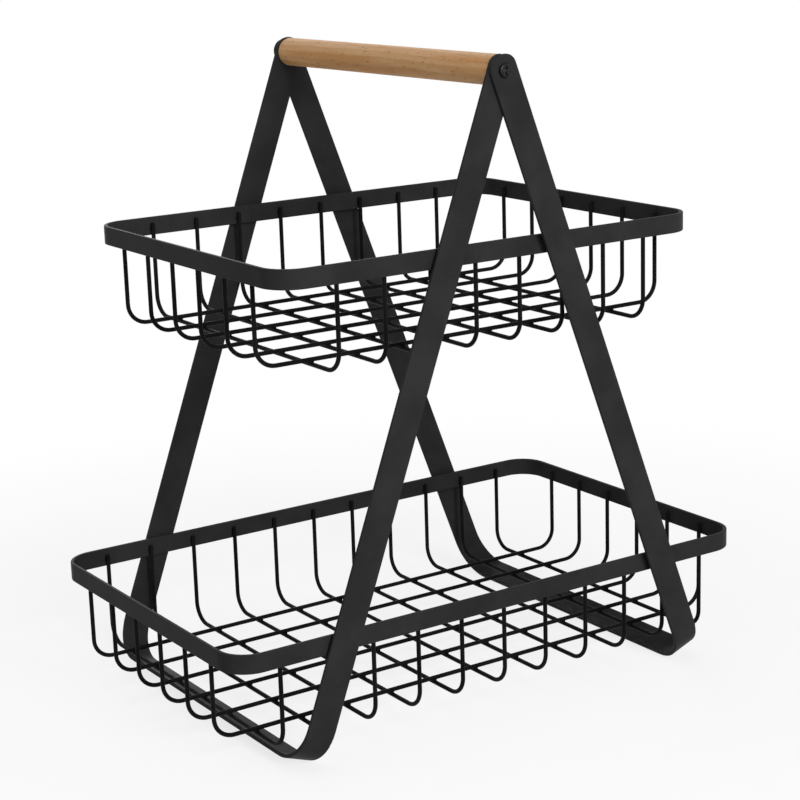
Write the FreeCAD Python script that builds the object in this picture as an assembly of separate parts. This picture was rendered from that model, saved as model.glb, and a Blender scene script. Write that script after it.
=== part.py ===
"""Two-tier wire basket: crossed strip frames, a wooden carrying handle and two wire baskets that lift off.

Frame of the model: millimetres, +Z up, +X along the baskets, +Y along the handle. The origin is on the
table, under the middle of the basket.
"""
import FreeCAD
import Part
import math
import os

from FreeCAD import Vector

# Standing frames: flat strip bent into a U, leaning about the handle's axis
STRIP_WIDTH = 16.0            # across the leg
STRIP_THICKNESS = 2.0
STRIP_EDGE_ROUND = 0.5        # rolled edge of the strip
FRAME_LEAN = 20.4             # degrees from the vertical, each frame the opposite way
LEG_LENGTH = 355.6            # handle axis to the underside of the bottom bar, along the leg
FRAME_BEND_RADIUS = 20.0      # outer radius where a leg turns into the bottom bar
LEG_TIP_REACH = 7.6           # leg end above the handle axis, along the leg
LEG_TIP_RADIUS = 6.5          # rounded corners of the leg end

# Handle: a wooden dowel held by one screw in each end
HANDLE_DIAMETER = 15.5
HANDLE_END_ROUND = 1.0
HANDLE_END_CLEARANCE = 0.1    # running gap between dowel end and leg

# Handle screws
SCREW_DIAMETER = 4.0
SCREW_GRIP = 24.0             # length of screw inside the wood
SCREW_POINT = 3.0             # length of the tapered point
SCREW_TIP_DIAMETER = 2.0
SCREW_HEAD_DIAMETER = 7.2
SCREW_HEAD_HEIGHT = 1.5
SCREW_HEAD_ROUND = 0.9
SCREW_HEAD_CLEARANCE = 0.1    # running gap between head and outer leg
SCREW_HOLE_CLEARANCE = 0.05   # radial running gap in the leg holes
SCREW_SEAT_GAP = 0.02         # radial gap between screw and its hole in the wood
RECESS_SPAN = 4.2             # cross recess at the crown of the head, tip to tip
RECESS_WIDTH = 1.3
RECESS_CORE_DIAMETER = 2.6    # conical middle of the recess
RECESS_DEPTH = 1.3
RECESS_FLOOR_SPAN = 2.2       # the recess tapers to its floor
RECESS_FLOOR_WIDTH = 0.8

# Basket rims: flat strip bent into a ring
UPPER_RIM_LENGTH = 258.0
LOWER_RIM_LENGTH = 325.0
RIM_BREADTH = 197.0           # across the basket, both tiers
RIM_HEIGHT = 10.0
RIM_THICKNESS = 2.0
RIM_CORNER_RADIUS = 16.5      # outside
RIM_EDGE_ROUND = 0.5
UPPER_BASKET_STAND = 197.0    # underside of the upper basket above the table
LOWER_BASKET_STAND = 13.3     # underside of the lower basket above the table

# Basket wires: round wire bent into U's and welded inside the rim
WIRE_DIAMETER = 2.3
WIRE_BEND_RADIUS = 11.0       # to the wire's centre line
WIRE_END_ROUND = 0.5
WIRE_END_DROP = 3.2           # wire end below the top of the rim
WELD_GAP = 0.05               # between welded surfaces
BASKET_DEPTH = 55.3           # rim top to the underside of the cross wires
UPPER_CROSS_COUNT = 8
LOWER_CROSS_COUNT = 11
LONG_WIRE_COUNT = 6
UPPER_CROSS_MARGIN = 34.1     # from the end of the rim to the first wire of the row
LOWER_CROSS_MARGIN = 27.0
LONG_WIRE_MARGIN = 29.8       # from the front of the rim to the first wire of the row

# Hanging: studs on the legs, slotted plates on the rims
PIN_DIAMETER = 4.0
PIN_END_CLEARANCE = 0.3       # pin end to the rim's outer face
PIN_SLOT_CLEARANCE = 0.05     # each side of the pin in its slot
PIN_SEAT_HEIGHT = 3.9         # pin centre above the rim's lower edge
HOOK_WIDTH = 10.0
HOOK_THICKNESS = 1.2
HOOK_LEG_CLEARANCE = 0.5      # hook plate to the inner leg as the basket is lifted

LEAN = math.radians(FRAME_LEAN)
# A leaning bar stands on its rounded lower edge, which sets the height of the handle's axis
EDGE_RISE = STRIP_EDGE_ROUND * (math.cos(LEAN) + math.sin(LEAN) - 1.0)
PIVOT_Z = LEG_LENGTH * math.cos(LEAN) + 0.5 * STRIP_WIDTH * math.sin(LEAN) - EDGE_RISE

RIM_HALF_BREADTH = 0.5 * RIM_BREADTH
INNER_FRAME_INSIDE = RIM_HALF_BREADTH + HOOK_THICKNESS + HOOK_LEG_CLEARANCE
OUTER_FRAME_INSIDE = INNER_FRAME_INSIDE + STRIP_THICKNESS
FRAME_OUTSIDE = OUTER_FRAME_INSIDE + STRIP_THICKNESS
UPPER_RIM_TOP = UPPER_BASKET_STAND + BASKET_DEPTH
LOWER_RIM_TOP = LOWER_BASKET_STAND + BASKET_DEPTH

Y_AXIS = Vector(0, 1, 0)
Z_AXIS = Vector(0, 0, 1)
TOLERANCE = 1e-4


def save(name, shape):
    """Write one node, refusing a shape that isn't one sound solid."""
    if len(shape.Solids) != 1 or not shape.isValid():
        raise ValueError("%s isn't one valid solid" % name)
    shape.Solids[0].exportStep("parts/%s.step" % name)


def arc(centre, start_angle, end_angle, radius, place):
    """Arc in a local plane; place turns local (a, b) into a point."""
    def point(angle):
        return place(centre[0] + radius * math.cos(angle), centre[1] + radius * math.sin(angle))
    middle = 0.5 * (start_angle + end_angle)
    return Part.Arc(point(start_angle), point(middle), point(end_angle)).toShape()


def line(start, end):
    """Straight edge between two points."""
    return Part.LineSegment(start, end).toShape()


def u_path(half_span, top, bottom, radius, place):
    """Edges of a U: down one side, round, across the bottom, round and up the other side."""
    left = -half_span
    right = half_span
    return [
        line(place(left, top), place(left, bottom + radius)),
        arc((left + radius, bottom + radius), math.pi, 1.5 * math.pi, radius, place),
        line(place(left + radius, bottom), place(right - radius, bottom)),
        arc((right - radius, bottom + radius), -0.5 * math.pi, 0.0, radius, place),
        line(place(right, bottom + radius), place(right, top)),
    ]


def is_seam(edge):
    """True for the straight edges where a flat of the strip runs into a bend or a rounded corner."""
    if len(edge.Vertexes) != 2:
        return False
    step = edge.Vertexes[1].Point - edge.Vertexes[0].Point
    along_y = abs(abs(step.y) - STRIP_THICKNESS) < TOLERANCE and abs(step.x) + abs(step.z) < TOLERANCE
    along_x = abs(abs(step.x) - STRIP_WIDTH) < TOLERANCE and abs(step.y) + abs(step.z) < TOLERANCE
    return along_y or along_x


def strip_frame(inside, lean_side):
    """One U-frame: inside is the distance from the middle to a leg's inner face, lean_side is -1 or +1."""
    near_edge = -0.5 * STRIP_WIDTH

    def place(y, z):
        return Vector(near_edge, y, z)

    outside = inside + STRIP_THICKNESS
    outer = u_path(outside, LEG_TIP_REACH, -LEG_LENGTH, FRAME_BEND_RADIUS, place)
    inner_radius = FRAME_BEND_RADIUS - STRIP_THICKNESS
    inner = u_path(inside, LEG_TIP_REACH, STRIP_THICKNESS - LEG_LENGTH, inner_radius, place)
    ends = [
        line(place(-outside, LEG_TIP_REACH), place(-inside, LEG_TIP_REACH)),
        line(place(outside, LEG_TIP_REACH), place(inside, LEG_TIP_REACH)),
    ]
    outline = Part.Wire(Part.__sortEdges__(outer + inner + ends))
    solid = Part.Face(outline).extrude(Vector(STRIP_WIDTH, 0, 0))

    tip_edges = [e for e in solid.Edges if is_seam(e) and e.BoundBox.ZMin > LEG_TIP_REACH - TOLERANCE
                 and abs(e.BoundBox.YLength - STRIP_THICKNESS) < TOLERANCE]
    solid = solid.makeFillet(LEG_TIP_RADIUS, tip_edges)
    solid = solid.makeFillet(STRIP_EDGE_ROUND, [e for e in solid.Edges if not is_seam(e)])

    hole = Part.makeCylinder(0.5 * SCREW_DIAMETER + SCREW_HOLE_CLEARANCE, 2.0 * outside,
                             Vector(0, -outside, 0), Y_AXIS)
    solid = solid.cut(hole)
    solid.rotate(Vector(0, 0, 0), Y_AXIS, -lean_side * FRAME_LEAN)
    solid.translate(Vector(0, 0, PIVOT_Z))
    return solid


def handle_dowel():
    """Wooden dowel with rounded ends and a hole for a screw in each end."""
    half = INNER_FRAME_INSIDE - HANDLE_END_CLEARANCE
    solid = Part.makeCylinder(0.5 * HANDLE_DIAMETER, 2.0 * half, Vector(0, -half, PIVOT_Z), Y_AXIS)
    rings = [e for e in solid.Edges if e.BoundBox.YLength < TOLERANCE]
    solid = solid.makeFillet(HANDLE_END_ROUND, rings)
    for side in (-1, 1):
        solid = solid.cut(screw_shank(side, SCREW_SEAT_GAP))
    return solid


def screw_shank(side, growth):
    """Shank and point of a handle screw, thickened by growth, on the end of the handle that side names."""
    radius = 0.5 * SCREW_DIAMETER + growth
    head_seat = FRAME_OUTSIDE + SCREW_HEAD_CLEARANCE
    point_start = INNER_FRAME_INSIDE - SCREW_GRIP + SCREW_POINT
    inward = Vector(0, -side, 0)
    shank = Part.makeCylinder(radius, head_seat - point_start, Vector(0, side * head_seat, PIVOT_Z), inward)
    tip_radius = 0.5 * SCREW_TIP_DIAMETER + growth
    point = Part.makeCone(radius, tip_radius, SCREW_POINT + growth,
                          Vector(0, side * point_start, PIVOT_Z), inward)
    return shank.fuse(point).removeSplitter()


def handle_screw(side):
    """Round-headed screw with a cross recess, through both legs into the dowel."""
    seat = FRAME_OUTSIDE + SCREW_HEAD_CLEARANCE
    outward = Vector(0, side, 0)
    head = Part.makeCylinder(0.5 * SCREW_HEAD_DIAMETER, SCREW_HEAD_HEIGHT,
                             Vector(0, side * seat, PIVOT_Z), outward)
    crown = side * (seat + SCREW_HEAD_HEIGHT)
    rings = [e for e in head.Edges if e.BoundBox.YLength < TOLERANCE]
    head = head.makeFillet(SCREW_HEAD_ROUND, [e for e in rings if abs(e.BoundBox.YMin - crown) < TOLERANCE])
    for quarter_turn in (0.0, 90.0):
        arm = recess_arm(side, crown)
        arm.rotate(Vector(0, crown, PIVOT_Z), Y_AXIS, quarter_turn)
        head = head.cut(arm)
    core = Part.makeCone(0.5 * RECESS_CORE_DIAMETER, 0.5 * RECESS_FLOOR_WIDTH, RECESS_DEPTH,
                         Vector(0, crown, PIVOT_Z), Vector(0, -side, 0))
    return head.cut(core).fuse(screw_shank(side, 0.0)).removeSplitter()


def recess_arm(side, crown):
    """Level arm of a screw's cross recess, tapering from the crown of the head to the recess floor."""
    levels = ((0.0, RECESS_SPAN, RECESS_WIDTH), (RECESS_DEPTH, RECESS_FLOOR_SPAN, RECESS_FLOOR_WIDTH))
    outlines = []
    for depth, span, width in levels:
        y = crown - side * depth
        corners = [Vector(0.5 * a * span, y, PIVOT_Z + 0.5 * b * width)
                   for a, b in ((-1, -1), (1, -1), (1, 1), (-1, 1))]
        outlines.append(Part.makePolygon(corners + corners[:1]))
    return Part.makeLoft(outlines, True, True)


def rounded_ring(length, breadth, radius, z):
    """Closed outline of a rectangle with rounded corners, centred on the Z axis at height z."""
    half_x = 0.5 * length
    half_y = 0.5 * breadth

    def place(x, y):
        return Vector(x, y, z)

    edges = []
    for turn, (cx, cy) in enumerate(((1, 1), (-1, 1), (-1, -1), (1, -1))):
        centre = (cx * (half_x - radius), cy * (half_y - radius))
        edges.append(arc(centre, 0.5 * math.pi * turn, 0.5 * math.pi * (turn + 1), radius, place))
    edges.append(line(place(half_x - radius, half_y), place(radius - half_x, half_y)))
    edges.append(line(place(-half_x, half_y - radius), place(-half_x, radius - half_y)))
    edges.append(line(place(radius - half_x, -half_y), place(half_x - radius, -half_y)))
    edges.append(line(place(half_x, radius - half_y), place(half_x, half_y - radius)))
    return Part.Wire(Part.__sortEdges__(edges))


def basket_rim(length, top):
    """Flat strip bent into a ring, its edges rolled."""
    base = top - RIM_HEIGHT
    outer = rounded_ring(length, RIM_BREADTH, RIM_CORNER_RADIUS, base)
    inner = rounded_ring(length - 2.0 * RIM_THICKNESS, RIM_BREADTH - 2.0 * RIM_THICKNESS,
                         RIM_CORNER_RADIUS - RIM_THICKNESS, base)
    lift = Vector(0, 0, RIM_HEIGHT)
    solid = Part.Face(outer).extrude(lift).cut(Part.Face(inner).extrude(lift))
    level = [e for e in solid.Edges if e.BoundBox.ZLength < TOLERANCE]
    return solid.makeFillet(RIM_EDGE_ROUND, level)


def bent_wire(half_span, top, bottom, place):
    """Round wire along a U whose centre line runs from top to bottom, with softened cut ends."""
    path = Part.Wire(u_path(half_span, top, bottom, WIRE_BEND_RADIUS, place))
    circle = Part.Circle(place(-half_span, top), Z_AXIS, 0.5 * WIRE_DIAMETER)
    section = Part.Wire([circle.toShape()])
    solid = path.makePipeShell([section], True, False)
    ends = [e for e in solid.Edges if e.BoundBox.ZMin > top - TOLERANCE]
    return solid.makeFillet(WIRE_END_ROUND, ends)


def cross_wire(x, rim_top):
    """Wire in the plane x, from the front of the rim under the basket to its back."""
    half_span = RIM_HALF_BREADTH - RIM_THICKNESS - WELD_GAP - 0.5 * WIRE_DIAMETER
    bottom = rim_top - BASKET_DEPTH + 0.5 * WIRE_DIAMETER
    return bent_wire(half_span, rim_top - WIRE_END_DROP, bottom, lambda y, z: Vector(x, y, z))


def long_wire(y, rim_length, rim_top):
    """Wire in the plane y, from one end of the rim to the other, lying on the cross wires."""
    half_span = 0.5 * rim_length - RIM_THICKNESS - WELD_GAP - 0.5 * WIRE_DIAMETER
    bottom = rim_top - BASKET_DEPTH + 1.5 * WIRE_DIAMETER + WELD_GAP
    return bent_wire(half_span, rim_top - WIRE_END_DROP, bottom, lambda x, z: Vector(x, y, z))


def spread(count, length, margin):
    """Places of a row of wires along a side of the rim, evenly spaced between the two end margins."""
    pitch = (length - 2.0 * margin) / (count - 1)
    return [margin - 0.5 * length + i * pitch for i in range(count)]


def pin_height(rim_top):
    """Height of the pins that carry a basket."""
    return rim_top - RIM_HEIGHT + PIN_SEAT_HEIGHT


def pin_places(rim_top):
    """Where the legs' centre lines meet a basket's pins: (name, x, y side, leg's inner face)."""
    x = (PIVOT_Z - pin_height(rim_top)) * math.tan(LEAN)
    return [
        ("front_left", -x, -1, INNER_FRAME_INSIDE),
        ("front_right", x, -1, OUTER_FRAME_INSIDE),
        ("back_left", -x, 1, INNER_FRAME_INSIDE),
        ("back_right", x, 1, OUTER_FRAME_INSIDE),
    ]


def basket_pin(x, side, leg_face, z):
    """Stud on the inner face of a leg, reaching almost to the rim."""
    length = leg_face - RIM_HALF_BREADTH - PIN_END_CLEARANCE
    return Part.makeCylinder(0.5 * PIN_DIAMETER, length, Vector(x, side * leg_face, z), Vector(0, -side, 0))


def hook_plate(x, side, z, rim_top):
    """Plate on the outside of the rim, with a slot that drops over a pin."""
    bottom = rim_top - RIM_HEIGHT + RIM_EDGE_ROUND
    height = RIM_HEIGHT - 2.0 * RIM_EDGE_ROUND
    face = min(side * RIM_HALF_BREADTH, side * (RIM_HALF_BREADTH + HOOK_THICKNESS))
    plate = Part.makeBox(HOOK_WIDTH, HOOK_THICKNESS, height, Vector(x - 0.5 * HOOK_WIDTH, face, bottom))
    radius = 0.5 * PIN_DIAMETER + PIN_SLOT_CLEARANCE
    mouth = Part.makeBox(2.0 * radius, HOOK_THICKNESS, z - bottom, Vector(x - radius, face, bottom))
    seat = Part.makeCylinder(radius, HOOK_THICKNESS, Vector(x, face, z), Y_AXIS)
    return plate.cut(mouth).cut(seat)


def build_basket(tier, rim_length, rim_top, cross_places):
    """Write one basket with its wires and hooks, and the pins that carry it."""
    save("%s_rim" % tier, basket_rim(rim_length, rim_top))
    for i, x in enumerate(cross_places, 1):
        save("%s_cross_wire_%02d" % (tier, i), cross_wire(x, rim_top))
    for i, y in enumerate(spread(LONG_WIRE_COUNT, RIM_BREADTH, LONG_WIRE_MARGIN), 1):
        save("%s_long_wire_%d" % (tier, i), long_wire(y, rim_length, rim_top))
    z = pin_height(rim_top)
    for place, x, side, leg_face in pin_places(rim_top):
        save("%s_pin_%s" % (tier, place), basket_pin(x, side, leg_face, z))
        save("%s_hook_%s" % (tier, place), hook_plate(x, side, z, rim_top))


def main():
    """Build every piece in its place."""
    os.makedirs("parts", exist_ok=True)
    save("inner_frame", strip_frame(INNER_FRAME_INSIDE, -1))
    save("outer_frame", strip_frame(OUTER_FRAME_INSIDE, 1))
    save("handle", handle_dowel())
    save("handle_screw_front", handle_screw(-1))
    save("handle_screw_back", handle_screw(1))
    build_basket("upper", UPPER_RIM_LENGTH, UPPER_RIM_TOP,
                 spread(UPPER_CROSS_COUNT, UPPER_RIM_LENGTH, UPPER_CROSS_MARGIN))
    build_basket("lower", LOWER_RIM_LENGTH, LOWER_RIM_TOP,
                 spread(LOWER_CROSS_COUNT, LOWER_RIM_LENGTH, LOWER_CROSS_MARGIN))
    print("handle axis %.2f mm above the table" % PIVOT_Z)


main()
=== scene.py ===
"""Looks of a two-tier wire basket that stands on two crossed strip frames under a wooden carrying handle.

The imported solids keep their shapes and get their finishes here. The weld beads that join the wires to each
other and to the rims are added, and a plain white studio with the photograph's camera is set around them.
Lengths are in metres, and fields whose names end in _mm are in millimetres.
"""
import logging
import math
from dataclasses import dataclass, field
from enum import Enum
from typing import Any, Mapping, Optional, Union

import bmesh
import bpy
from mathutils import Matrix, Vector


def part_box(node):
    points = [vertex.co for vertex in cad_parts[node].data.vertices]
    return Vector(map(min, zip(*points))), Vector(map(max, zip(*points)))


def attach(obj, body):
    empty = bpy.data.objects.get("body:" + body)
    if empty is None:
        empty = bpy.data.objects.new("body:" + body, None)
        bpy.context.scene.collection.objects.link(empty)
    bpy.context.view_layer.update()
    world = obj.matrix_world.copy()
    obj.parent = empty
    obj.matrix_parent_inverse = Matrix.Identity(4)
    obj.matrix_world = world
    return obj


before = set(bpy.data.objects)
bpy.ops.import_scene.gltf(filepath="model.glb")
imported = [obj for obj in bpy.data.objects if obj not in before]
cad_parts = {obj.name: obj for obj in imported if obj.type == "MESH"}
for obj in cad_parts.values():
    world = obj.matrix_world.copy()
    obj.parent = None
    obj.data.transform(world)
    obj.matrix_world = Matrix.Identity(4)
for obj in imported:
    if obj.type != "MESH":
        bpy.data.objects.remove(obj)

MM = 0.001
SEED_STEP = 100
WHITE = (1.0, 1.0, 1.0, 1.0)

Triple = tuple[float, float, float]
Colour = Triple
Inputs = Mapping[Union[int, str], Any]

log = logging.getLogger("wire_basket")


def rgba(colour: Colour) -> tuple[float, float, float, float]:
    """Return a colour with full alpha, as colour sockets take it."""
    return (*colour, 1.0)


class Flow:
    """A number in a node tree, on which Python's operators add Math nodes."""

    def __init__(self, graph: "Graph", socket: bpy.types.NodeSocket) -> None:
        """Keep the tree and the output socket that the number comes from."""
        self.graph = graph
        self.socket = socket

    def _math(self, operation: str, *operands: Union["Flow", float]) -> "Flow":
        """Add one Math node.

        Args:
            operation: the Math node's operation.
            operands: its inputs, in order.

        Returns:
            The node's result.
        """
        node = self.graph.node("ShaderNodeMath", {"operation": operation}, dict(enumerate(operands)))
        return Flow(self.graph, node.outputs[0])

    def __add__(self, other: Union["Flow", float]) -> "Flow":
        """Return self + other."""
        return self._math("ADD", self, other)

    def __radd__(self, other: float) -> "Flow":
        """Return other + self."""
        return self._math("ADD", other, self)

    def __sub__(self, other: Union["Flow", float]) -> "Flow":
        """Return self - other."""
        return self._math("SUBTRACT", self, other)

    def __rsub__(self, other: float) -> "Flow":
        """Return other - self."""
        return self._math("SUBTRACT", other, self)

    def __mul__(self, other: Union["Flow", float]) -> "Flow":
        """Return self * other."""
        return self._math("MULTIPLY", self, other)

    def __rmul__(self, other: float) -> "Flow":
        """Return other * self."""
        return self._math("MULTIPLY", other, self)

    def __truediv__(self, other: Union["Flow", float]) -> "Flow":
        """Return self / other."""
        return self._math("DIVIDE", self, other)

    def __rtruediv__(self, other: float) -> "Flow":
        """Return other / self."""
        return self._math("DIVIDE", other, self)

    def __pow__(self, other: float) -> "Flow":
        """Return self raised to other."""
        return self._math("POWER", self, other)

    def fraction(self) -> "Flow":
        """Return the part of the number behind the point."""
        return self._math("FRACT", self)

    def magnitude(self) -> "Flow":
        """Return the number without its sign."""
        return self._math("ABSOLUTE", self)

    def larger(self, other: Union["Flow", float]) -> "Flow":
        """Return the larger of the two numbers."""
        return self._math("MAXIMUM", self, other)

    def rise(self, low: float, high: float) -> "Flow":
        """Blend smoothly from 0 at one value of the number to 1 at another.

        Args:
            low: where the result is 0.
            high: where the result is 1, which may be below low.

        Returns:
            The smooth step.
        """
        first, last = min(low, high), max(low, high)
        settings = {"interpolation_type": "SMOOTHSTEP"}
        node = self.graph.node(
            "ShaderNodeMapRange", settings, {"Value": self, "From Min": first, "From Max": last})
        step = Flow(self.graph, node.outputs[0])
        return step if low < high else 1.0 - step


class Graph:
    """A node tree of a material, of the world or of Geometry Nodes, written from left to right."""

    def __init__(self, tree: bpy.types.NodeTree) -> None:
        """Take over the tree and empty it."""
        self.tree = tree
        tree.nodes.clear()

    def node(self, kind: str, settings: Optional[Mapping[str, Any]] = None,
             inputs: Optional[Inputs] = None) -> bpy.types.Node:
        """Add a node, set its settings, then fill or link its sockets.

        Args:
            kind: the node's type.
            settings: its properties.
            inputs: values, numbers in flow or output sockets, by input name or index.

        Returns:
            The new node.
        """
        made = self.tree.nodes.new(kind)
        for name, value in (settings or {}).items():
            setattr(made, name, value)
        for key, value in (inputs or {}).items():
            if isinstance(value, Flow):
                self.tree.links.new(value.socket, made.inputs[key])
            elif isinstance(value, bpy.types.NodeSocket):
                self.tree.links.new(value, made.inputs[key])
            else:
                made.inputs[key].default_value = value
        return made

    def flow(self, kind: str, settings: Optional[Mapping[str, Any]] = None,
             inputs: Optional[Inputs] = None, output: Union[int, str] = 0) -> Flow:
        """Add a node and return one of its outputs as a number.

        Args:
            kind: the node's type.
            settings: its properties.
            inputs: what its sockets take.
            output: the name or index of the output.

        Returns:
            The output, ready for operators.
        """
        return Flow(self, self.node(kind, settings, inputs).outputs[output])

    def place(self) -> bpy.types.NodeSocket:
        """Return the object coordinates of the surface, in metres."""
        return self.node("ShaderNodeTexCoord").outputs["Object"]

    def stretched(self, place: bpy.types.NodeSocket, per_metre: Triple) -> bpy.types.NodeSocket:
        """Return a place scaled by its own factor along each axis."""
        return self.node("ShaderNodeMapping", {"vector_type": "POINT"},
                         {"Vector": place, "Scale": per_metre}).outputs[0]

    def noise(self, place: bpy.types.NodeSocket, scale: float, detail: float = 2.0,
              roughness: float = 0.5) -> Flow:
        """Add cloudy noise.

        Args:
            place: where the noise is read.
            scale: features in each unit of place.
            detail: how many finer layers it has.
            roughness: how strong the finer layers are.

        Returns:
            A number about 0.5 on average.
        """
        inputs = {"Vector": place, "Scale": scale, "Detail": detail, "Roughness": roughness}
        return self.flow("ShaderNodeTexNoise", None, inputs)

    def blend(self, amount: Flow, first: Any, second: Any) -> bpy.types.NodeSocket:
        """Mix two colours.

        Args:
            amount: 0 gives the first colour and 1 the second.
            first: a colour or a colour socket.
            second: a colour or a colour socket.

        Returns:
            The mixed colour.
        """
        sides = {6: first, 7: second}
        inputs = {key: rgba(side) if isinstance(side, tuple) else side for key, side in sides.items()}
        made = self.node("ShaderNodeMix", {"data_type": "RGBA"}, {0: amount, **inputs})
        return made.outputs[2]

    def bump(self, height: Flow, depth: float, strength: float) -> bpy.types.NodeSocket:
        """Turn a height into a surface normal.

        Args:
            height: the height, about 0 to 1.
            depth: how far a height of 1 stands out, in metres.
            strength: how much of it shows.

        Returns:
            The bent normal.
        """
        inputs = {"Height": height, "Distance": depth, "Strength": strength}
        return self.node("ShaderNodeBump", None, inputs).outputs[0]


class Finish:
    """A procedural material that is made once and shared by every piece that has it."""

    name: str

    def material(self) -> bpy.types.Material:
        """Return the finish as a material, made on first use."""
        made = bpy.data.materials.get(self.name)
        if made is None:
            made = bpy.data.materials.new(self.name)
            made.use_nodes = True
            graph = Graph(made.node_tree)
            shader = self.shade(graph)
            graph.node("ShaderNodeOutputMaterial", None, {"Surface": shader.outputs[0]})
        return made

    def shade(self, graph: Graph) -> bpy.types.Node:
        """Write the finish's nodes and return its shader node."""
        raise NotImplementedError

    def dress(self, *nodes: str) -> None:
        """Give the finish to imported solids.

        Args:
            nodes: the names of the solids' nodes.
        """
        for name in nodes:
            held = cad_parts[name].data.materials
            held.clear()
            held.append(self.material())
            log.info("%s: %s", name, self.name)


@dataclass(frozen=True)
class PowderCoat(Finish):
    """Satin black powder coat on steel: orange peel, fine grit, a cloudy gloss and a rubbed foot."""

    name: str
    dark: Colour = (0.018, 0.018, 0.0184)
    light: Colour = (0.025, 0.025, 0.0254)
    rubbed: Colour = (0.085, 0.084, 0.083)
    roughness: float = 0.42
    specular: float = 0.02
    peel_per_metre: float = 620.0
    grit_per_metre: float = 3600.0
    cloud_per_metre: float = 38.0
    nib_per_metre: float = 190.0
    scratch_per_metre: Triple = (900.0, 160.0, 900.0)
    peel_height: float = 0.62
    grit_height: float = 0.26
    nib_height: float = 0.3
    cloud_gloss: float = 0.14
    grit_gloss: float = 0.1
    rub_share: float = 0.8
    rub_gloss: float = 0.12
    relief_mm: float = 0.03
    relief_strength: float = 0.55
    foot_mm: float = 0.0

    def shade(self, graph: Graph) -> bpy.types.Node:
        """Write the coat: its relief, its cloudy colour and gloss, and the wear at the foot.

        Args:
            graph: the material's tree.

        Returns:
            The shader node.
        """
        place = graph.place()
        peel = graph.noise(place, self.peel_per_metre, 1.5, 0.4)
        grit = graph.noise(place, self.grit_per_metre, 2.0, 0.6)
        cloud = graph.noise(place, self.cloud_per_metre, 4.0, 0.55)
        nib_distance = graph.flow(
            "ShaderNodeTexVoronoi", None, {"Vector": place, "Scale": self.nib_per_metre})
        nib = nib_distance.rise(0.10, 0.03)
        height = peel * self.peel_height + grit * self.grit_height + nib * self.nib_height
        colour = graph.blend(cloud.rise(0.3, 0.7), self.dark, self.light)
        roughness = self.roughness + (cloud - 0.5) * self.cloud_gloss + (grit - 0.5) * self.grit_gloss
        if self.foot_mm > 0.0:
            level = graph.flow("ShaderNodeSeparateXYZ", None, {"Vector": place}, "Z")
            low = level.rise(self.foot_mm * MM, 0.0)
            scratch = graph.noise(graph.stretched(place, self.scratch_per_metre), 1.0, 3.0, 0.6)
            rub = low * scratch.rise(0.45, 0.7) * self.rub_share
            colour = graph.blend(rub, colour, self.rubbed)
            roughness = roughness + rub * self.rub_gloss
        return graph.node("ShaderNodeBsdfPrincipled", None, {
            "Base Color": colour, "Roughness": roughness, "Specular IOR Level": self.specular,
            "Normal": graph.bump(height, self.relief_mm * MM, self.relief_strength)})


@dataclass(frozen=True)
class BeechWood(Finish):
    """Lacquered beech dowel, cut beside the heart of the tree: slow rings, ray flecks and fine fibres."""

    name: str
    axis_height: float
    pale: Colour = (0.545, 0.326, 0.152)
    tan: Colour = (0.48, 0.238, 0.08)
    late: Colour = (0.367, 0.172, 0.058)
    ray: Colour = (0.248, 0.114, 0.04)
    heart_mm: tuple[float, float] = (-21.0, -46.0)
    ring_mm: float = 3.1
    wander_mm: float = 4.2
    wander_per_metre: Triple = (45.0, 7.0, 45.0)
    band_per_metre: Triple = (130.0, 11.0, 130.0)
    fibre_per_metre: Triple = (2600.0, 60.0, 2600.0)
    fleck_per_metre: Triple = (900.0, 230.0, 900.0)
    latewood_share: float = 0.3
    fibre_share: float = 0.32
    fleck_share: float = 0.75
    fibre_gloss: float = 0.12
    fleck_gloss: float = 0.08
    roughness: float = 0.5
    specular: float = 0.16
    fibre_height: float = 0.4
    fleck_height: float = 0.35
    relief_mm: float = 0.05
    relief_strength: float = 0.5

    def shade(self, graph: Graph) -> bpy.types.Node:
        """Write the wood as a solid texture, so that the grain runs through the dowel along Y.

        Args:
            graph: the material's tree.

        Returns:
            The shader node.
        """
        place = graph.node("ShaderNodeMapping", {"vector_type": "POINT"}, {
            "Vector": graph.place(), "Location": (0.0, 0.0, -self.axis_height)}).outputs[0]
        split = graph.node("ShaderNodeSeparateXYZ", None, {"Vector": place})
        across = Flow(graph, split.outputs["X"]) / MM - self.heart_mm[0]
        up = Flow(graph, split.outputs["Z"]) / MM - self.heart_mm[1]
        wander = graph.noise(graph.stretched(place, self.wander_per_metre), 1.0, 2.0)
        radius = (across * across + up * up) ** 0.5 + (wander - 0.5) * (2.0 * self.wander_mm)
        ring = (radius / self.ring_mm).fraction()
        latewood = ring.rise(0.25, 0.95) * ring.rise(1.0, 0.95)
        band = graph.noise(graph.stretched(place, self.band_per_metre), 1.0, 3.0, 0.55)
        fibre = graph.noise(graph.stretched(place, self.fibre_per_metre), 1.0, 3.0, 0.6)
        fleck_field = graph.noise(graph.stretched(place, self.fleck_per_metre), 1.0, 2.0, 0.45)
        fleck = fleck_field.rise(0.59, 0.75)
        colour = graph.blend(band.rise(0.36, 0.62), self.pale, self.tan)
        colour = graph.blend(latewood * self.latewood_share, colour, self.late)
        colour = graph.blend(fibre.rise(0.42, 0.75) * self.fibre_share, colour, self.late)
        colour = graph.blend(fleck * self.fleck_share, colour, self.ray)
        roughness = self.roughness + (fibre - 0.5) * self.fibre_gloss + fleck * self.fleck_gloss
        height = 0.5 + (fibre - 0.5) * self.fibre_height - fleck * self.fleck_height
        return graph.node("ShaderNodeBsdfPrincipled", None, {
            "Base Color": colour, "Roughness": roughness, "Specular IOR Level": self.specular,
            "Normal": graph.bump(height, self.relief_mm * MM, self.relief_strength)})


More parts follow.
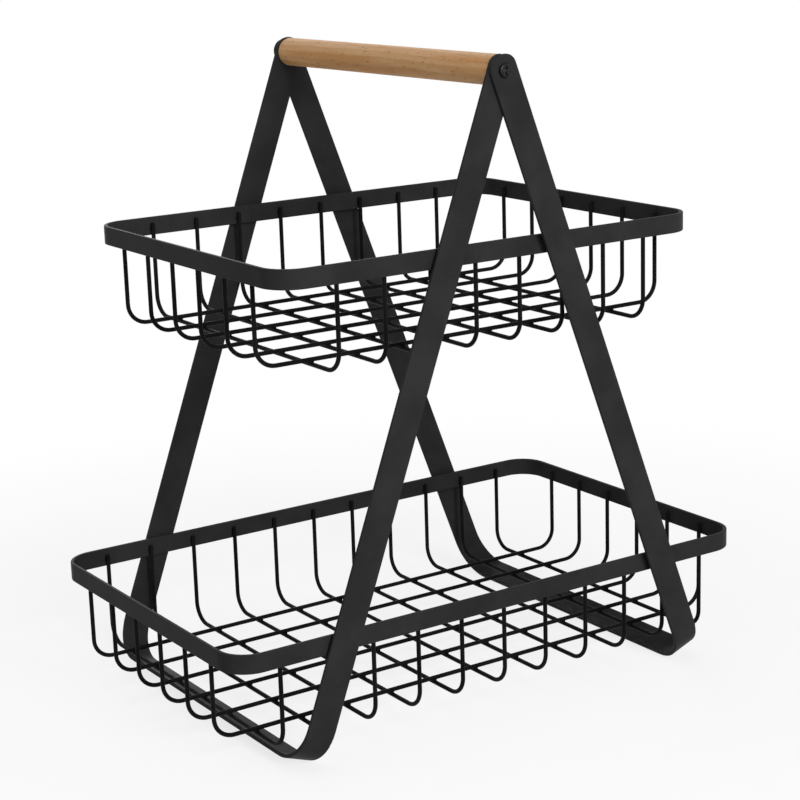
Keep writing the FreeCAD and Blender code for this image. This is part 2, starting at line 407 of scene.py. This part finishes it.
@dataclass(frozen=True)
class BlackedScrew(Finish):
    """Blacked steel: turned rings on the head, small stains, a rubbed driver's recess and painted shade deep
    in that recess.
    """

    name: str
    axis_height: float
    crown_reach: float
    dark: Colour = (0.014, 0.014, 0.015)
    light: Colour = (0.026, 0.026, 0.027)
    bright: Colour = (0.11, 0.107, 0.104)
    # painted shade: the near-black colour that the depth of the driver's recess is painted with
    painted_recess_shade: Colour = (0.003, 0.003, 0.003)
    recess_mm: float = 2.3
    recess_fade_mm: tuple[float, float] = (0.5, 0.6)
    painted_shade_depth_mm: float = 0.3
    rings_per_mm: float = 4.0
    stain_per_metre: float = 520.0
    chatter_per_metre: float = 3800.0
    rub_share: float = 0.5
    roughness: float = 0.36
    stain_gloss: float = 0.2
    ring_height: float = 0.4
    chatter_height: float = 0.6
    relief_mm: float = 0.015
    relief_strength: float = 0.4

    def shade(self, graph: Graph) -> bpy.types.Node:
        """Write the blacking and its wear about the screw's own axis, and painted shade deep in the driver's
        recess.

        Args:
            graph: the material's tree.

        Returns:
            The shader node.
        """
        place = graph.place()
        split = graph.node("ShaderNodeSeparateXYZ", None, {"Vector": place})
        across = Flow(graph, split.outputs["X"]) / MM
        up = (Flow(graph, split.outputs["Z"]) - self.axis_height) / MM
        radius = (across * across + up * up) ** 0.5
        stain = graph.noise(place, self.stain_per_metre, 3.0, 0.6)
        chatter = graph.noise(place, self.chatter_per_metre, 2.0, 0.6)
        depth = (self.crown_reach - Flow(graph, split.outputs["Y"]).magnitude()) / MM
        outward, inward = self.recess_fade_mm
        near = radius.rise(self.recess_mm + outward, self.recess_mm - inward)
        # Painted shade: deeper in the driver's recess the colour goes near black and the surface stops being
        # metal.
        painted_shade = near * depth.rise(0.0, self.painted_shade_depth_mm)
        rubbed = near * chatter.rise(0.45, 0.7) * self.rub_share
        colour = graph.blend(stain.rise(0.3, 0.7), self.dark, self.light)
        colour = graph.blend(rubbed, colour, self.bright)
        colour = graph.blend(painted_shade, colour, self.painted_recess_shade)
        turned = (radius * self.rings_per_mm).fraction()
        height = turned * self.ring_height + chatter * self.chatter_height
        return graph.node("ShaderNodeBsdfPrincipled", None, {
            "Base Color": colour, "Roughness": self.roughness + (stain - 0.5) * self.stain_gloss,
            "Metallic": 1.0 - painted_shade,
            "Normal": graph.bump(height, self.relief_mm * MM, self.relief_strength)})


class Tier(Enum):
    """The two baskets."""

    UPPER = "upper"
    LOWER = "lower"


class Row(Enum):
    """The sides of a rim, as the axis its wires are spaced along and the sign of the side."""

    FRONT = ("X", -1.0)
    BACK = ("X", 1.0)
    LEFT = ("Y", -1.0)
    RIGHT = ("Y", 1.0)


class WeldBeads:
    """The Geometry Nodes tree of one basket's weld beads, on its wire crossings and along its rim."""

    NAME = "wire_weld_beads"
    BEAD_SUBDIVISIONS = 2
    CROSSING_TURN = math.pi / 4.0
    RIM_TURN = 0.05
    SALT_STEP = 10
    SIZES = (
        ("Cross Wires", "NodeSocketInt"), ("Long Wires", "NodeSocketInt"),
        ("Cross Pitch", "NodeSocketFloat"), ("Long Pitch", "NodeSocketFloat"),
        ("Crossing Height", "NodeSocketFloat"), ("Crossing Bead", "NodeSocketVector"),
        ("Rim Half Length", "NodeSocketFloat"), ("Rim Half Breadth", "NodeSocketFloat"),
        ("Rim Weld Height", "NodeSocketFloat"), ("Rim Bead", "NodeSocketVector"),
        ("Unevenness", "NodeSocketFloat"), ("Seed", "NodeSocketInt"), ("Coat", "NodeSocketMaterial"))

    def __init__(self) -> None:
        """Make the tree with its named inputs."""
        self.tree = bpy.data.node_groups.new(self.NAME, "GeometryNodeTree")
        self.graph = Graph(self.tree)
        sockets = self.tree.interface
        sockets.new_socket(name="Beads", in_out="OUTPUT", socket_type="NodeSocketGeometry")
        for name, kind in self.SIZES:
            sockets.new_socket(name=name, in_out="INPUT", socket_type=kind)
        self.given = self.graph.node("NodeGroupInput").outputs
        self._write()

    def _size(self, name: str) -> Flow:
        """Return one of the tree's inputs as a number."""
        return Flow(self.graph, self.given[name])

    def _point(self, x: Any, y: Any, z: Any) -> bpy.types.NodeSocket:
        """Join three numbers into a vector."""
        return self.graph.node("ShaderNodeCombineXYZ", None, {"X": x, "Y": y, "Z": z}).outputs[0]

    def _bead(self, half_sizes: bpy.types.NodeSocket) -> bpy.types.NodeSocket:
        """Make one bead.

        Args:
            half_sizes: its half sizes along X, Y and Z.

        Returns:
            The bead's geometry.
        """
        ball = self.graph.node("GeometryNodeMeshIcoSphere", None, {
            "Radius": 1.0, "Subdivisions": self.BEAD_SUBDIVISIONS})
        return self.graph.node("GeometryNodeTransform", None, {
            "Geometry": ball.outputs["Mesh"], "Scale": half_sizes}).outputs[0]

    def _scatter(self, points: bpy.types.NodeSocket, bead: bpy.types.NodeSocket, turn: float,
                 salt: int) -> bpy.types.NodeSocket:
        """Put an uneven bead on each point.

        Args:
            points: the geometry whose points get a bead.
            bead: the bead.
            turn: the most that a bead is turned about Z, in radians.
            salt: what sets this group's random draws apart.

        Returns:
            The instances.
        """
        seed = self._size("Seed") + salt
        spread = self._size("Unevenness")
        least, most = 1.0 - spread, 1.0 + spread
        vectors = {"data_type": "FLOAT_VECTOR"}
        scale = self.graph.node("FunctionNodeRandomValue", vectors, {
            0: self._point(least, least, least), 1: self._point(most, most, most), "Seed": seed})
        angle = self.graph.node("FunctionNodeRandomValue", vectors, {
            0: (0.0, 0.0, -turn), 1: (0.0, 0.0, turn), "Seed": seed + 1})
        return self.graph.node("GeometryNodeInstanceOnPoints", None, {
            "Points": points, "Instance": bead, "Rotation": angle.outputs[0],
            "Scale": scale.outputs[0]}).outputs[0]

    def _crossings(self) -> bpy.types.NodeSocket:
        """Return the beads where long wires lie on cross wires."""
        counts = self._size("Cross Wires"), self._size("Long Wires")
        pitches = self._size("Cross Pitch"), self._size("Long Pitch")
        grid = self.graph.node("GeometryNodeMeshGrid", None, {
            "Size X": (counts[0] - 1.0) * pitches[0], "Size Y": (counts[1] - 1.0) * pitches[1],
            "Vertices X": counts[0], "Vertices Y": counts[1]})
        raised = self.graph.node("GeometryNodeTransform", None, {
            "Geometry": grid.outputs["Mesh"],
            "Translation": self._point(0.0, 0.0, self._size("Crossing Height"))})
        bead = self._bead(self.given["Crossing Bead"])
        return self._scatter(raised.outputs[0], bead, self.CROSSING_TURN, 0)

    def _rim_row(self, row: Row, salt: int) -> bpy.types.NodeSocket:
        """Return the beads between one side of the rim and the wires that end there.

        Args:
            row: the side of the rim.
            salt: what sets this row's random draws apart.

        Returns:
            The instances.
        """
        along, side = row.value
        sizes = self.graph.node("ShaderNodeSeparateXYZ", None, {"Vector": self.given["Rim Bead"]})
        width, depth, tall = (Flow(self.graph, socket) for socket in sizes.outputs)
        if along == "X":
            count, pitch = self._size("Cross Wires"), self._size("Cross Pitch")
            start = ((1.0 - count) * pitch / 2.0, self._size("Rim Half Breadth") * side)
            step, half_sizes = self._point(pitch, 0.0, 0.0), self._point(width, depth, tall)
        else:
            count, pitch = self._size("Long Wires"), self._size("Long Pitch")
            start = (self._size("Rim Half Length") * side, (1.0 - count) * pitch / 2.0)
            step, half_sizes = self._point(0.0, pitch, 0.0), self._point(depth, width, tall)
        line = self.graph.node("GeometryNodeMeshLine", {"mode": "OFFSET"}, {
            "Count": count, "Start Location": self._point(*start, self._size("Rim Weld Height")),
            "Offset": step})
        return self._scatter(line.outputs[0], self._bead(half_sizes), self.RIM_TURN, salt)

    def _write(self) -> None:
        """Write the tree, from its sizes to one plain mesh with its finish."""
        groups = [self._crossings()]
        groups += [self._rim_row(row, self.SALT_STEP * order) for order, row in enumerate(Row, start=1)]
        joined = self.graph.node("GeometryNodeJoinGeometry")
        for group in groups:
            self.tree.links.new(group, joined.inputs[0])
        smooth = self.graph.node("GeometryNodeSetShadeSmooth", None, {"Geometry": joined.outputs[0]})
        real = self.graph.node("GeometryNodeRealizeInstances", None, {"Geometry": smooth.outputs[0]})
        dressed = self.graph.node("GeometryNodeSetMaterial", None, {
            "Geometry": real.outputs[0], "Material": self.given["Coat"]})
        self.graph.node("NodeGroupOutput", None, {0: dressed.outputs[0]})

    def make(self, name: str, sizes: Mapping[str, Any]) -> bpy.types.Object:
        """Grow the beads of one basket as a plain mesh.

        Args:
            name: the piece's name.
            sizes: a value for each of the tree's inputs.

        Returns:
            The piece, with no modifier left on it.
        """
        piece = bpy.data.objects.new(name, bpy.data.meshes.new(name + "_start"))
        bpy.context.scene.collection.objects.link(piece)
        modifier = piece.modifiers.new(self.NAME, "NODES")
        modifier.node_group = self.tree
        for item in self.tree.interface.items_tree:
            if item.item_type == "SOCKET" and item.in_out == "INPUT":
                modifier[item.identifier] = sizes[item.name]
        grown = piece.evaluated_get(bpy.context.evaluated_depsgraph_get())
        mesh = bpy.data.meshes.new_from_object(grown)
        mesh.name = name
        piece.modifiers.clear()
        piece.data = mesh
        return piece


@dataclass
class WireBasket:
    """One basket: a strip rim, two rows of bent wires welded to it and to each other, and four hook plates.

    The half sizes of a weld bead are in wire diameters: on a crossing along X, Y and Z, and on the rim
    along it, into it and up it.
    """

    tier: Tier
    strip_coat: PowderCoat
    wire_coat: PowderCoat
    seed: int
    crossing_bead: Triple = (0.63, 0.63, 0.35)
    rim_bead: Triple = (0.64, 0.31, 0.85)
    unevenness: float = 0.14
    cross_wires: list[str] = field(init=False)
    long_wires: list[str] = field(init=False)

    def __post_init__(self) -> None:
        """Find this basket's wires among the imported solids."""
        names = sorted(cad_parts)
        self.cross_wires = [name for name in names if name.startswith(self._called("cross_wire"))]
        self.long_wires = [name for name in names if name.startswith(self._called("long_wire"))]

    def _called(self, piece: str) -> str:
        """Return a piece's name with this basket's tier in front."""
        return f"{self.tier.value}_{piece}"

    @staticmethod
    def _pitch(wires: list[str], axis: int) -> float:
        """Measure how far apart a row of wires stands.

        Args:
            wires: the wires' nodes, in order.
            axis: the axis they are spaced along.

        Returns:
            The distance from one wire to the next.
        """
        middles = [sum(corner[axis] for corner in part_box(name)) / 2.0 for name in wires]
        return (max(middles) - min(middles)) / (len(wires) - 1)

    def build(self, beads: WeldBeads) -> bpy.types.Object:
        """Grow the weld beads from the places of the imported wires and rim.

        Args:
            beads: the tree that makes them.

        Returns:
            The beads, riding on this basket.
        """
        rim_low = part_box(self._called("rim"))[0]
        cross_low, cross_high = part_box(self.cross_wires[0])
        long_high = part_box(self.long_wires[0])[1]
        wire = cross_high.x - cross_low.x
        piece = beads.make(self._called("weld_beads"), {
            "Cross Wires": len(self.cross_wires),
            "Long Wires": len(self.long_wires),
            "Cross Pitch": self._pitch(self.cross_wires, 0),
            "Long Pitch": self._pitch(self.long_wires, 1),
            "Crossing Height": cross_low.z + wire,
            "Crossing Bead": Vector(self.crossing_bead) * wire,
            "Rim Half Length": long_high.x,
            "Rim Half Breadth": cross_high.y,
            "Rim Weld Height": (rim_low.z + cross_high.z) / 2.0,
            "Rim Bead": Vector(self.rim_bead) * wire,
            "Unevenness": self.unevenness,
            "Seed": self.seed,
            "Coat": self.wire_coat.material()})
        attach(piece, self._called("basket"))
        log.info("%s: %d faces", piece.name, len(piece.data.polygons))
        return piece

    def dress(self) -> None:
        """Coat the rim, the wires and the hook plates."""
        hooks = [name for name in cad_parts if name.startswith(self._called("hook"))]
        self.strip_coat.dress(self._called("rim"), *hooks)
        self.wire_coat.dress(*self.cross_wires, *self.long_wires)


@dataclass
class StandingFrame:
    """The two crossed strip frames and the pins on their legs that carry the baskets."""

    coat: PowderCoat
    pin_coat: PowderCoat

    def dress(self) -> None:
        """Coat the frames and the pins."""
        self.coat.dress("inner_frame", "outer_frame")
        self.pin_coat.dress(*(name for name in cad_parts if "_pin_" in name))


@dataclass
class CarryHandle:
    """The wooden dowel between the leg tops and the two screws that hold it."""

    wood: BeechWood
    screw: BlackedScrew

    @staticmethod
    def axis_height() -> float:
        """Return the height of the dowel's axis above the table."""
        low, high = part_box("handle")
        return (low.z + high.z) / 2.0

    @staticmethod
    def crown_reach() -> float:
        """Return how far a screw's crown stands from the middle of the handle."""
        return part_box("handle_screw_back")[1].y

    def dress(self) -> None:
        """Give the dowel its wood and the screws their blacking."""
        self.wood.dress("handle")
        self.screw.dress("handle_screw_front", "handle_screw_back")


@dataclass(frozen=True)
class Lamp:
    """A soft box: where it stands, its side, its power and what it is aimed at."""

    name: str
    place: Triple
    side: float
    watts: float
    aim: Triple = (0.0, 0.0, 0.17)

    def build(self) -> bpy.types.Object:
        """Add the lamp to the scene and return it."""
        light = bpy.data.lights.new(self.name, "AREA")
        light.shape = "SQUARE"
        light.size = self.side
        light.energy = self.watts
        lamp = bpy.data.objects.new(self.name, light)
        lamp.location = self.place
        lamp.rotation_euler = (Vector(self.aim) - Vector(self.place)).to_track_quat("-Z", "Y").to_euler()
        bpy.context.scene.collection.objects.link(lamp)
        return lamp


@dataclass
class Studio:
    """A white floor in white surroundings, four soft boxes and the photograph's camera."""

    lamps: tuple[Lamp, ...] = (
        Lamp("key_soft_box", (-0.1, -2.25, 1.1), 1.0, 48.0),
        Lamp("fill_soft_box", (1.9, -0.8, 1.1), 1.6, 2.0),
        Lamp("top_soft_box", (-0.85, 0.05, 1.95), 1.2, 10.0),
        Lamp("back_soft_box", (0.5, 2.2, 0.8), 1.6, 14.0))
    surround_strength: float = 0.27
    floor_radius: float = 14.0
    floor_segments: int = 96
    floor_drop: float = 0.0003
    floor_colour: Colour = (0.9, 0.9, 0.9)
    floor_own_white: float = 0.78
    shadow_reach: tuple[float, float] = (0.22, 0.6)
    camera_place: Triple = (-0.58451, -0.89263, 0.41917)
    camera_turn_deg: float = 33.296
    camera_tilt_deg: float = -14.104
    camera_roll_deg: float = -1.786
    lens_mm: float = 90.08
    sensor_mm: float = 36.0

    @staticmethod
    def _shows_white(graph: Graph) -> Flow:
        """Return 1 for rays that see the surroundings: from the camera, and through or off a surface."""
        seen = graph.node("ShaderNodeLightPath").outputs
        camera, glossy, through = (
            Flow(graph, seen[name]) for name in ("Is Camera Ray", "Is Glossy Ray", "Is Transmission Ray"))
        return camera.larger(glossy).larger(through)

    def _world(self) -> None:
        """Make white surroundings that light the object more softly than they look."""
        world = bpy.data.worlds.new("white_surroundings")
        world.use_nodes = True
        graph = Graph(world.node_tree)
        light = graph.node(
            "ShaderNodeBackground", None, {"Color": WHITE, "Strength": self.surround_strength})
        white = graph.node("ShaderNodeBackground", None, {"Color": WHITE, "Strength": 1.0})
        mixed = graph.node("ShaderNodeMixShader", None, {
            0: self._shows_white(graph), 1: light.outputs[0], 2: white.outputs[0]})
        graph.node("ShaderNodeOutputWorld", None, {"Surface": mixed.outputs[0]})
        bpy.context.scene.world = world

    def _floor_material(self) -> bpy.types.Material:
        """Make the floor's finish, white to the camera but for the shadow near the object."""
        made = bpy.data.materials.new("white_floor")
        made.use_nodes = True
        graph = Graph(made.node_tree)
        place = graph.place()
        distance = graph.flow("ShaderNodeVectorMath", {"operation": "LENGTH"}, {0: place}, "Value")
        far = distance.rise(*self.shadow_reach)
        white_share = self._shows_white(graph) * (self.floor_own_white + far * (1.0 - self.floor_own_white))
        paint = graph.node("ShaderNodeBsdfDiffuse", None, {"Color": rgba(self.floor_colour)})
        white = graph.node("ShaderNodeEmission", None, {"Color": WHITE, "Strength": 1.0})
        mixed = graph.node("ShaderNodeMixShader", None, {
            0: white_share, 1: paint.outputs[0], 2: white.outputs[0]})
        graph.node("ShaderNodeOutputMaterial", None, {"Surface": mixed.outputs[0]})
        return made

    def _floor(self) -> None:
        """Lay the floor just under the frames' standing edges."""
        mesh = bpy.data.meshes.new("studio_floor")
        shape = bmesh.new()
        bmesh.ops.create_circle(
            shape, cap_ends=True, segments=self.floor_segments, radius=self.floor_radius)
        bmesh.ops.translate(shape, verts=shape.verts, vec=(0.0, 0.0, -self.floor_drop))
        shape.to_mesh(mesh)
        shape.free()
        mesh.materials.append(self._floor_material())
        floor = bpy.data.objects.new("studio_floor", mesh)
        bpy.context.scene.collection.objects.link(floor)

    def _camera(self) -> None:
        """Set the camera where the photograph was taken from."""
        data = bpy.data.cameras.new("photo_camera")
        data.sensor_width = self.sensor_mm
        data.lens = self.lens_mm
        camera = bpy.data.objects.new("photo_camera", data)
        turn = Matrix.Rotation(math.radians(-self.camera_turn_deg), 4, "Z")
        tilt = Matrix.Rotation(math.radians(90.0 + self.camera_tilt_deg), 4, "X")
        roll = Matrix.Rotation(math.radians(self.camera_roll_deg), 4, "Z")
        camera.matrix_world = Matrix.Translation(self.camera_place) @ turn @ tilt @ roll
        bpy.context.scene.collection.objects.link(camera)
        bpy.context.scene.camera = camera

    def build(self) -> None:
        """Set up the surroundings, the floor, the lamps and the camera."""
        bpy.context.scene.view_settings.view_transform = "Standard"
        self._world()
        self._floor()
        for lamp in self.lamps:
            lamp.build()
        self._camera()
        log.info("studio: %d soft boxes", len(self.lamps))


def main() -> None:
    """Dress the solids, grow the weld beads and set up the studio."""
    logging.basicConfig(level=logging.INFO, format="%(name)s: %(message)s")
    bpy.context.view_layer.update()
    axis_height = CarryHandle.axis_height()
    strip = PowderCoat("black_coat_strip")
    standing = PowderCoat("black_coat_standing", foot_mm=5.0)
    wire = PowderCoat("black_coat_wire", dark=(0.004, 0.004, 0.0042), light=(0.0075, 0.0075, 0.0078),
                      roughness=0.4, specular=0.025)

    StandingFrame(standing, strip).dress()
    CarryHandle(BeechWood("beech_lacquered", axis_height),
                BlackedScrew("screw_blacked", axis_height, CarryHandle.crown_reach())).dress()
    beads = WeldBeads()
    for order, tier in enumerate(Tier, start=1):
        basket = WireBasket(tier, strip, wire, seed=SEED_STEP * order)
        basket.dress()
        basket.build(beads)
    Studio().build()


if __name__ == "__main__":
    main()
